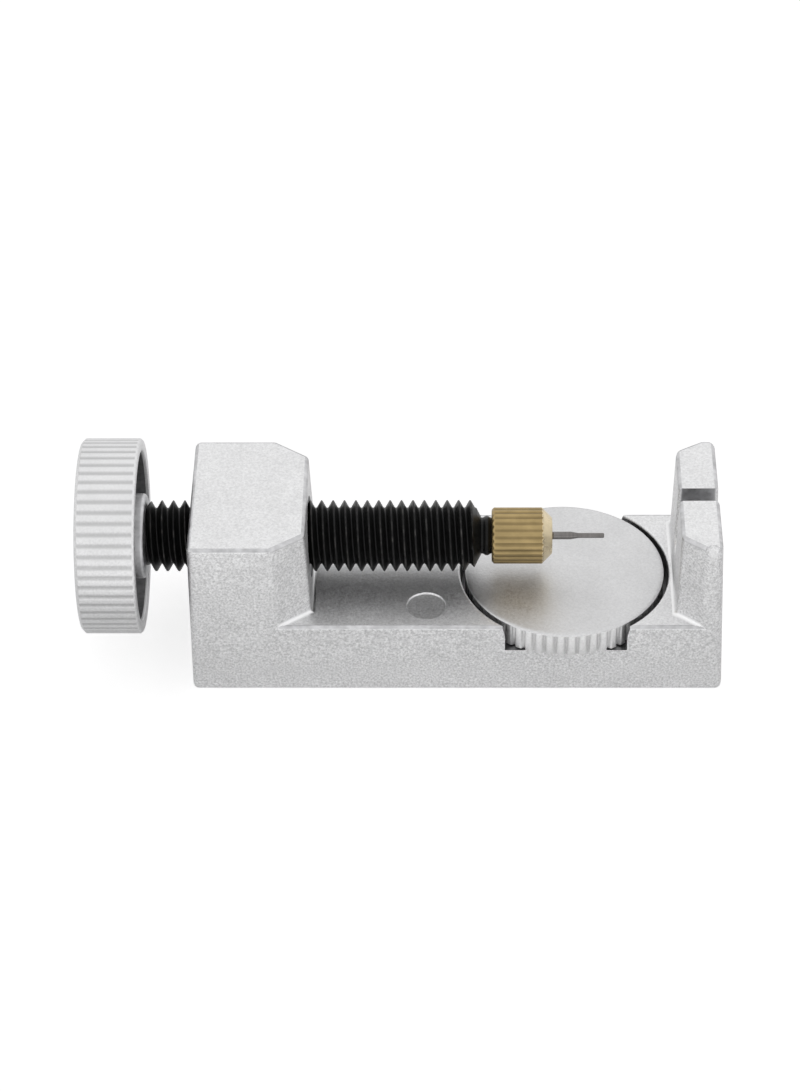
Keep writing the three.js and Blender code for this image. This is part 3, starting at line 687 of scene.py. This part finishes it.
def mixed(tree, blend, factor, first, second):
    node = tree.nodes.new("ShaderNodeMix")
    node.data_type, node.blend_type = "RGBA", blend
    if isinstance(factor, float):
        node.inputs["Factor"].default_value = factor
    else:
        tree.links.new(factor, node.inputs["Factor"])
    for value, socket in ((first, node.inputs["A"]), (second, node.inputs["B"])):
        if isinstance(value, tuple):
            socket.default_value = (*value, 1)
        else:
            tree.links.new(value, socket)
    return node.outputs["Result"]


def graded(tree, value, low, high, start, end):
    """start where the value is low, end where it is high, and smooth between."""
    node = tree.nodes.new("ShaderNodeMapRange")
    node.interpolation_type = "SMOOTHSTEP"
    limits = zip(("From Min", "From Max", "To Min", "To Max"), (low, high, start, end))
    for name, number in limits:
        node.inputs[name].default_value = number
    tree.links.new(value, node.inputs["Value"])
    return node.outputs["Result"]


def computed(tree, operation, *values):
    """A Math node of the values, each a number or a socket."""
    node = tree.nodes.new("ShaderNodeMath")
    node.operation = operation
    for value, socket in zip(values, node.inputs):
        if isinstance(value, (int, float)):
            socket.default_value = value
        else:
            tree.links.new(value, socket)
    return node.outputs[0]


def length_of(tree, vector):
    node = tree.nodes.new("ShaderNodeVectorMath")
    node.operation = "LENGTH"
    tree.links.new(vector, node.inputs[0])
    return node.outputs["Value"]


def geometry(tree, name, axis):
    """A vector of the Geometry node, and its part along an axis."""
    vector = tree.nodes.new("ShaderNodeNewGeometry").outputs[name]
    parts = tree.nodes.new("ShaderNodeSeparateXYZ")
    tree.links.new(vector, parts.inputs["Vector"])
    return vector, parts.outputs[axis]


def bumped(tree, shader, height, distance):
    bump = tree.nodes.new("ShaderNodeBump")
    bump.inputs["Distance"].default_value = distance
    tree.links.new(height, bump.inputs["Height"])
    tree.links.new(bump.outputs["Normal"], shader.inputs["Normal"])


def spread(color, share):
    """The colour, darker and lighter by a share of itself."""
    return (tuple(c * (1 - share) for c in color), tuple(min(1.0, c * (1 + share)) for c in color))


def shaded_in_valleys(tree, color, share):
    """The colour with painted shade: darkened to a share of itself at the bottom of a knurl's
    valleys.
    """
    kept = tree.nodes.new("ShaderNodeAttribute")
    kept.attribute_name = "valley"
    darker = ramp(tree, kept.outputs["Fac"], [(0.1, grey(1.0)), (0.9, grey(share))])
    return mixed(tree, "MULTIPLY", 1.0, color, darker)


def grained_metal(name, color, grain, roughness, bump, valley=1.0):
    """A cast or tumbled metal surface: fine light and dark grain, slow blotches and a fine bump.
    Its faces that look up are plainer. valley is the share of the colour left at the bottom of a
    knurl's valleys, as painted shade."""
    material, tree, shader = nodes_of(name)
    low, high = spread(color, grain)
    fine = noise(tree, GRAIN_SCALE, 3.0, 0.65)
    _, upward = geometry(tree, "Normal", "Z")
    plain = graded(tree, upward, 0.3, 0.9, 0.0, 0.5)
    grains = ramp(tree, fine, [(0.32, low), (0.5, color), (0.68, high)])
    speckle = mixed(tree, "MIX", plain, grains, color)
    blotch = ramp(tree, noise(tree, BLOTCH_SCALE, 2.0), [(0.3, grey(0.95)), (0.7, grey(1.0))])
    surface = mixed(tree, "MULTIPLY", 1.0, speckle, blotch)
    tree.links.new(shaded_in_valleys(tree, surface, valley), shader.inputs["Base Color"])
    shader.inputs["Metallic"].default_value = 1.0
    rough = ramp(tree, fine, [(0.3, grey(roughness - 0.05)), (0.7, grey(roughness + 0.08))])
    tree.links.new(rough, shader.inputs["Roughness"])
    bumped(tree, shader, noise(tree, BUMP_SCALE, 3.0, 0.6), bump)
    return material


def turned_metal(name, color, roughness, scale, variation, bump, valley=1.0, stretch=(1, 1, 1)):
    """A turned or drawn surface: tool marks, and slow stains. valley is the share of the colour
    left at the bottom of a knurl's valleys, as painted shade.
    """
    material, tree, shader = nodes_of(name)
    marks = noise(tree, scale, 2.0, 0.5, stretch)
    low, high = spread(color, variation)
    tinted = ramp(tree, marks, [(0.3, low), (0.7, high)])
    stains = ramp(tree, noise(tree, STAIN_SCALE, 3.0), [(0.35, grey(0.82)), (0.65, grey(1.0))])
    surface = mixed(tree, "MULTIPLY", 1.0, tinted, stains)
    tree.links.new(shaded_in_valleys(tree, surface, valley), shader.inputs["Base Color"])
    shader.inputs["Metallic"].default_value = 1.0
    rough = ramp(tree, marks, [(0.3, grey(roughness - 0.06)), (0.7, grey(roughness + 0.08))])
    tree.links.new(rough, shader.inputs["Roughness"])
    bumped(tree, shader, marks, bump)
    return material


def spindle_steel():
    """Black oxide, with the thread's crests worn to thin broken bright lines."""
    material, tree, shader = nodes_of("black_oxide_steel")
    place = tree.nodes.new("ShaderNodeTexCoord")
    from_axis = tree.nodes.new("ShaderNodeVectorMath")
    from_axis.operation = "MULTIPLY_ADD"
    from_axis.inputs[1].default_value = (0, 1, 1)
    from_axis.inputs[2].default_value = (0, 0, -SPINDLE_HEIGHT * MM)
    tree.links.new(place.outputs["Object"], from_axis.inputs[0])
    crest = SPINDLE_DIAMETER / 2
    at_crest = graded(tree, length_of(tree, from_axis.outputs["Vector"]),
                      (crest - 0.07) * MM, (crest - 0.01) * MM, 0.0, 1.0)
    patches = ramp(tree, noise(tree, 900, 3.0, 0.6), [(0.48, grey(0.01)), (0.75, grey(0.55))])
    worn = mixed(tree, "MULTIPLY", 1.0, patches, at_crest)
    oxide = ramp(tree, noise(tree, 2500, 3.0, 0.6), [(0.35, grey(0.003)), (0.7, grey(0.009))])
    tree.links.new(mixed(tree, "MIX", worn, oxide, WORN_STEEL), shader.inputs["Base Color"])
    tree.links.new(worn, shader.inputs["Metallic"])
    shader.inputs["Specular IOR Level"].default_value = 0.2
    rough = ramp(tree, noise(tree, 1800, 2.0), [(0.3, grey(0.28)), (0.7, grey(0.42))])
    tree.links.new(rough, shader.inputs["Roughness"])
    bumped(tree, shader, noise(tree, 3000, 2.0), 0.000008)
    return material


# Features per metre of the metals' noises
GRAIN_SCALE, BUMP_SCALE, BLOTCH_SCALE, STAIN_SCALE = 4200, 3300, 260, 600
WORN_STEEL = (0.17, 0.162, 0.155)

casting = grained_metal("cast_aluminium", (0.75, 0.75, 0.755), 0.26, 0.46, 0.00003)
# The knurled metals darken in their valleys by their last number: painted shade.
wheel_metal = grained_metal("wheel_aluminium", (0.65, 0.65, 0.655), 0.18, 0.43, 0.00003, 0.95)
knob_metal = grained_metal("knob_aluminium", (0.76, 0.76, 0.765), 0.1, 0.52, 0.000015, 0.72)
# A lighter metal on the towers' foot fillets: painted highlight
bright_fillets = grained_metal("bright_fillets", (0.82, 0.82, 0.825), 0.06, 0.32, 0.00001)
# A much lighter copy of the wheel's metal for its knurled side: painted light
lit_knurled_rim = grained_metal("lit_knurled_rim", (0.95, 0.95, 0.95), 0.08, 0.46, 0.00002, 0.85)
black_steel = spindle_steel()
clip_steel = turned_metal("clip_steel", (0.05, 0.05, 0.052), 0.35, 900, 0.2, 0.000005)
zinc_steel = turned_metal("zinc_steel", (0.60, 0.62, 0.64), 0.32, 900, 0.12, 0.000005,
                          stretch=(1, 1, 6))
pin_steel = turned_metal("pin_steel", (0.2, 0.19, 0.185), 0.13, 900, 0.15, 0.000003,
                         stretch=(8, 1, 1))
brass = turned_metal("cap_brass", (0.415, 0.31, 0.148), 0.38, 500, 0.08, 0.000004, 0.66)
# A paler brass for the cap's chamfer: fresh-cut metal, with a painted highlight
fresh_cut_highlit_brass = turned_metal("fresh_cut_highlit_brass", (0.80, 0.68, 0.46), 0.3, 900, 0.03, 0.000001)
# A dark metal for cut faces in recesses: painted shade
shaded_cut_metal = turned_metal("shaded_cut_aluminium", (0.23, 0.23, 0.235), 0.38, 1500, 0.2, 0.000005)
# A darker metal for the slot, the knob's boss and the tops of rounded edges: painted shade
shaded_tooled_metal = turned_metal("shaded_tooled_aluminium", (0.6, 0.6, 0.61), 0.4, 1500, 0.15, 0.000005)

# What a piece shows at its second to fourth places, where it isn't the frame's metals with their
# painted shade and highlight
OTHER_METALS = {"pin_cap": (fresh_cut_highlit_brass,) * 3, "height_wheel": (lit_knurled_rim,) * 3}

for build, material, body, slot, node in (
    (frame_casting, casting, "frame", "cast_aluminium", "frame"),
    (drive_spindle, black_steel, "spindle", "black_oxide_steel", "drive_spindle"),
    (drive_knob, knob_metal, "spindle", "knob_aluminium", "drive_knob"),
    (knob_screw, zinc_steel, "spindle", "zinc_plated_steel", "knob_screw"),
    (pin_cap, brass, "spindle", "brass", "pin_cap"),
    (push_pin, pin_steel, "pin_carriage", "pin_steel", "push_pin"),
    (height_wheel, wheel_metal, "wheel", "wheel_aluminium", "height_wheel"),
    (wheel_stem, zinc_steel, "wheel", "zinc_plated_steel", "wheel_stem"),
    (wheel_clip, clip_steel, "wheel_carriage", "black_oxide_steel", "wheel_clip"),
):
    piece = build()
    metals = [material, *OTHER_METALS.get(node, (shaded_cut_metal, bright_fillets, shaded_tooled_metal))]
    if not piece.data.materials:
        piece.data.materials.append(material)
    for place in range(len(piece.data.materials)):
        piece.data.materials[place] = metals[place]
    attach(piece, body)
    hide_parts(node)


# Stage, lights and camera

# Where a level starts and ends, in metres, and the level at either. What the camera sees of the
# floor by the distance from its middle, and what metals mirror of it by Y, behind and in front
FLOOR_SEEN = 0.12, 0.5, 0.66, 1.0
FLOOR_BEHIND = -0.012, 0.05, 0.0, 0.15
FLOOR_BEFORE = -0.06, -0.025, 0.85, 0.3
FLOOR_HALF, FLOOR_DROP = 3000, 0.02
# The world's level where it is neither seen nor mirrored
TENT = 0.45
# Name, place, size and power of each lamp, in metres and watts, and the place that all face
LAMPS = (
    ("top_box", (-0.02, 0.1, 0.45), (1.2, 0.8), 0.3),
    ("left_box", (-0.55, -0.25, 0.32), (0.8, 0.4), 0.25),
    ("right_box", (0.6, -0.12, 0.32), (0.8, 0.4), 0.2),
    ("front_box", (0.0, -0.7, 0.16), (1.0, 0.3), 0.15),
)
AIM = (0, 0, 0.01)
# The camera stands where the photograph's edges put it
ELEVATION, AZIMUTH, ROLL = 40.497, -1.259, -0.852
FOCAL_PIXELS, PICTURE_HEIGHT, DISTANCE = 3480.16, 1091, 382.15
TARGET = (22.797 - SHIFT, 0.0, 12.421)
SENSOR_HEIGHT, NEAREST, FARTHEST = 24.0, 0.01, 20


def rays(tree, *kinds):
    """1 for a ray of one of these kinds, and 0 for any other."""
    path = tree.nodes.new("ShaderNodeLightPath")
    any_of = path.outputs[kinds[0]]
    for kind in kinds[1:]:
        any_of = computed(tree, "MAXIMUM", any_of, path.outputs[kind])
    return any_of


def stage_floor():
    """A pale floor that reads white where it is seen, and still takes the tool's shadow."""
    corners = [(x * FLOOR_HALF, y * FLOOR_HALF, -FLOOR_DROP)
               for x, y in ((-1, -1), (1, -1), (1, 1), (-1, 1))]
    floor = make("floor", corners, [(0, 1, 2, 3)])
    material, tree, shader = nodes_of("pale_floor")
    shader.inputs["Base Color"].default_value = (0.7, 0.7, 0.7, 1)
    shader.inputs["Roughness"].default_value = 0.9
    shader.inputs["Emission Color"].default_value = (1, 1, 1, 1)
    place, depth = geometry(tree, "Position", "Y")
    seen = computed(tree, "MULTIPLY", rays(tree, "Is Camera Ray"),
                    graded(tree, length_of(tree, place), *FLOOR_SEEN))
    level = computed(tree, "ADD", graded(tree, depth, *FLOOR_BEFORE),
                     graded(tree, depth, *FLOOR_BEHIND))
    mirrored = computed(tree, "MULTIPLY", rays(tree, "Is Glossy Ray", "Is Transmission Ray"), level)
    tree.links.new(computed(tree, "ADD", seen, mirrored), shader.inputs["Emission Strength"])
    floor.data.materials.append(material)


def studio_world():
    """A dim even tent round the tool, white where it is seen or mirrored."""
    world = bpy.data.worlds.new("studio")
    bpy.context.scene.world = world
    world.use_nodes = True
    tree = world.node_tree
    white = rays(tree, "Is Camera Ray", "Is Glossy Ray", "Is Transmission Ray")
    background = tree.nodes["Background"]
    tree.links.new(computed(tree, "MULTIPLY_ADD", white, 1.0 - TENT, TENT),
                   background.inputs["Strength"])
    background.inputs["Color"].default_value = (1, 1, 1, 1)


def softbox(name, place, size, power):
    light = bpy.data.lights.new(name, "AREA")
    light.shape, light.energy = "RECTANGLE", power
    light.size, light.size_y = size
    lamp = bpy.data.objects.new(name, light)
    lamp.location = place
    lamp.visible_camera = False
    lamp.rotation_euler = (Vector(AIM) - Vector(place)).to_track_quat("-Z", "Y").to_euler()
    bpy.context.scene.collection.objects.link(lamp)


stage_floor()
studio_world()
for lamp in LAMPS:
    softbox(*lamp)

elevation, azimuth, roll = (math.radians(angle) for angle in (ELEVATION, AZIMUTH, ROLL))
away = Vector((-math.sin(azimuth) * math.cos(elevation), -math.cos(azimuth) * math.cos(elevation),
               math.sin(elevation)))
right = (-away).cross(Vector((0, 0, 1))).normalized()
up = right.cross(-away)
right_rolled = right * math.cos(roll) + up * math.sin(roll)
up_rolled = up * math.cos(roll) - right * math.sin(roll)
camera_data = bpy.data.cameras.new("camera")
camera_data.sensor_fit = "VERTICAL"
camera_data.sensor_height = SENSOR_HEIGHT
camera_data.lens = SENSOR_HEIGHT * FOCAL_PIXELS / PICTURE_HEIGHT
camera_data.clip_start, camera_data.clip_end = NEAREST, FARTHEST
camera = bpy.data.objects.new("camera", camera_data)
turn = Matrix((right_rolled, up_rolled, away)).transposed()
stand = (Vector(TARGET) + away * DISTANCE) * MM
camera.matrix_world = Matrix.Translation(stand) @ turn.to_4x4()
bpy.context.scene.collection.objects.link(camera)
bpy.context.scene.camera = camera

bpy.context.scene.view_settings.view_transform = "Standard"

bpy.context.view_layer.update()
